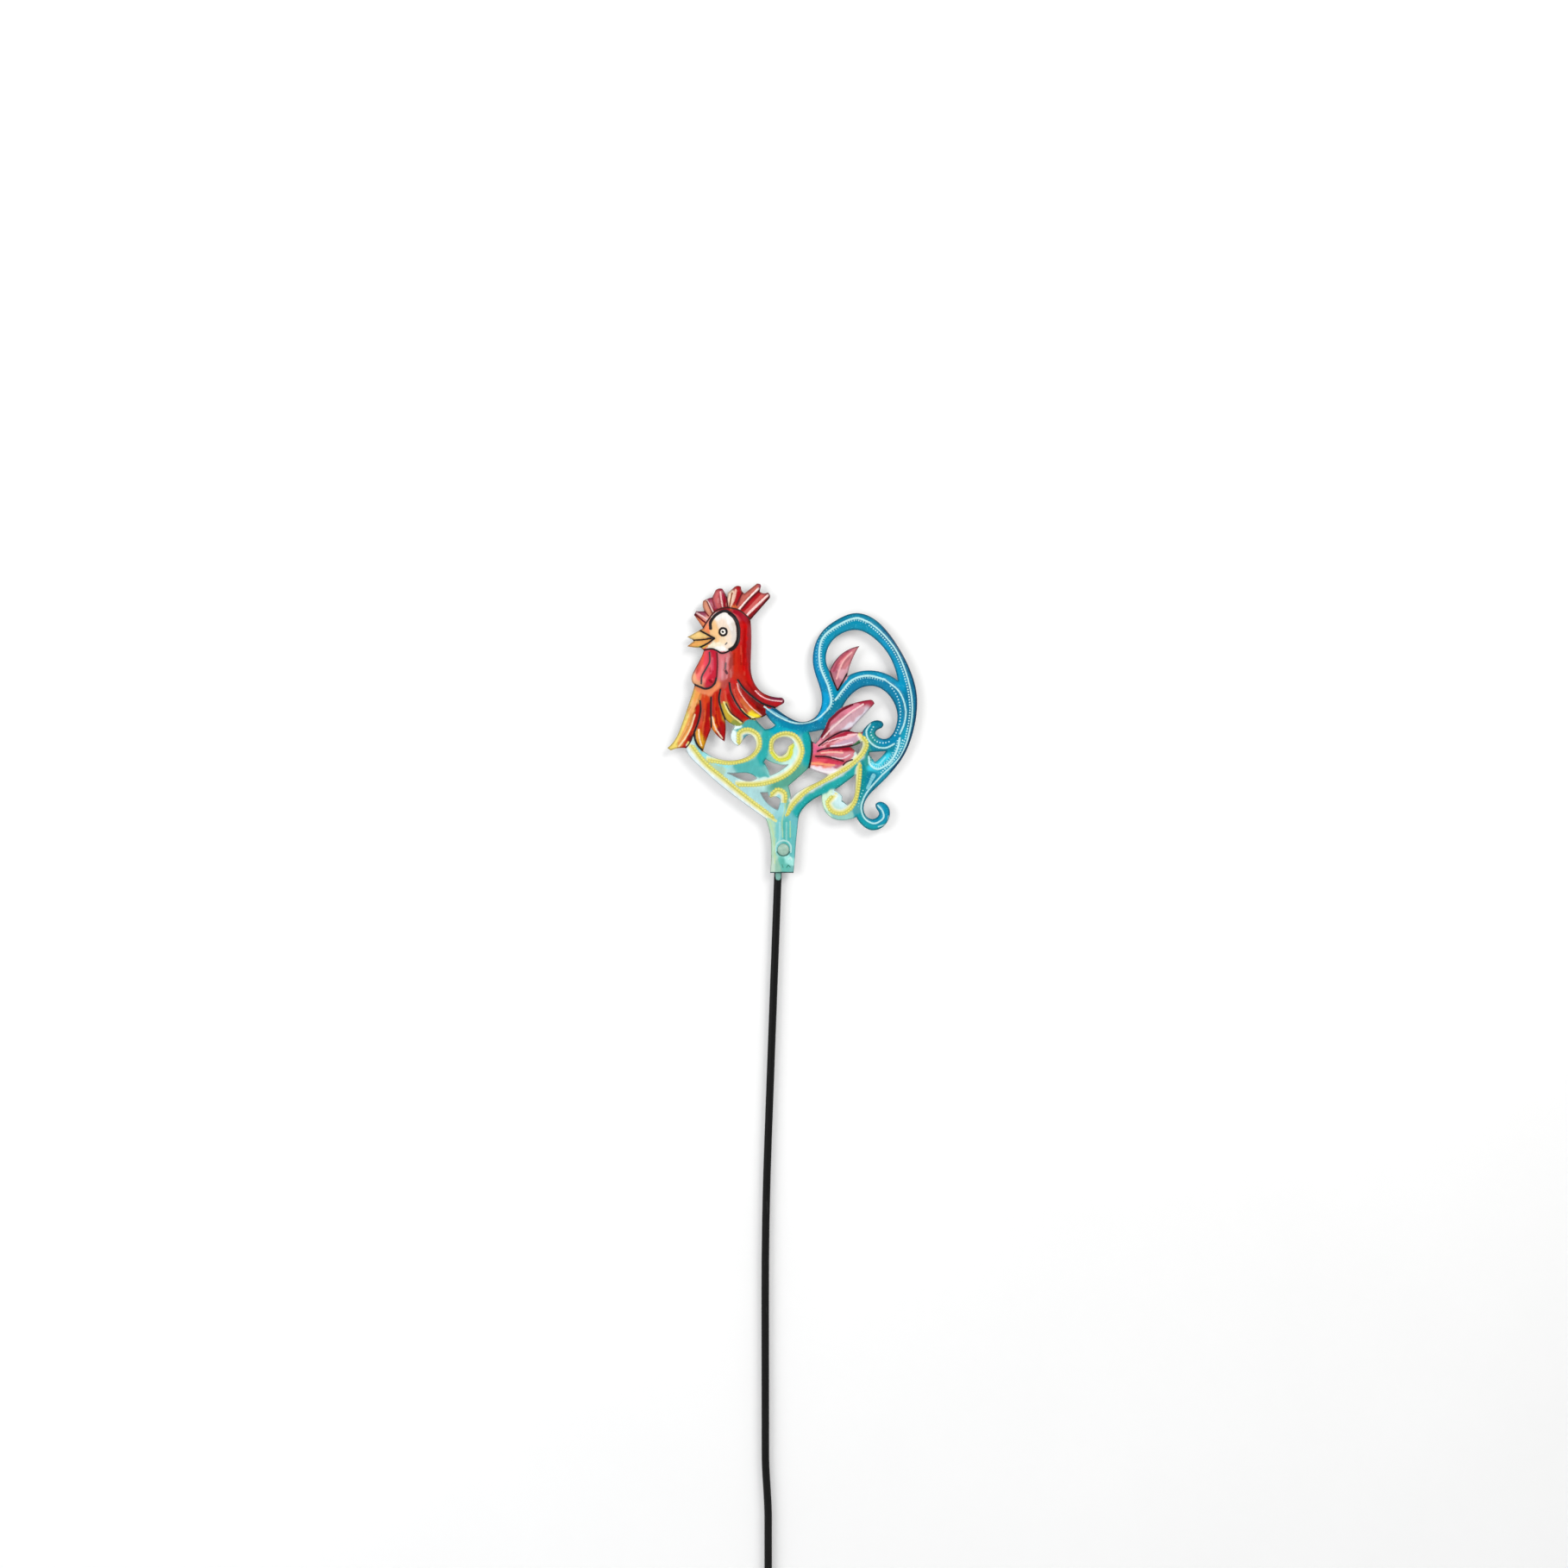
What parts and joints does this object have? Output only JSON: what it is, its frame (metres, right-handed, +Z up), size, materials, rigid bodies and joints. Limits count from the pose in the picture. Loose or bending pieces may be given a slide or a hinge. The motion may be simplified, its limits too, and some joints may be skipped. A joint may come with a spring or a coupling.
{
  "type": "rooster garden stake",
  "caption": "Flat cut and hammered sheet-metal rooster, hand painted, riveted to a slim pointed round rod that is pushed into the ground.",
  "frame": {"origin": "on the axis of the rod's straight lower run, at ground level", "axes": "+Z up along the rod's straight lower run, the painted face of the rooster looks along -Y, its head is on the -X side"},
  "size_m": [0.2086, 0.0092, 0.9151],
  "materials": {
    "painted_sheet": "hand-painted enamel over hammered steel, satin to gloss",
    "black_rod": "satin black paint",
    "painted_rivet": "brushed-over enamel, satin",
    "black_washer": "satin black paint"
  },
  "bodies": {
    "root": {"rooster_panel": "painted_sheet", "stake_rod": "black_rod", "rivet": "painted_rivet", "rivet_washer": "black_washer"}
  },
  "joints": []
}
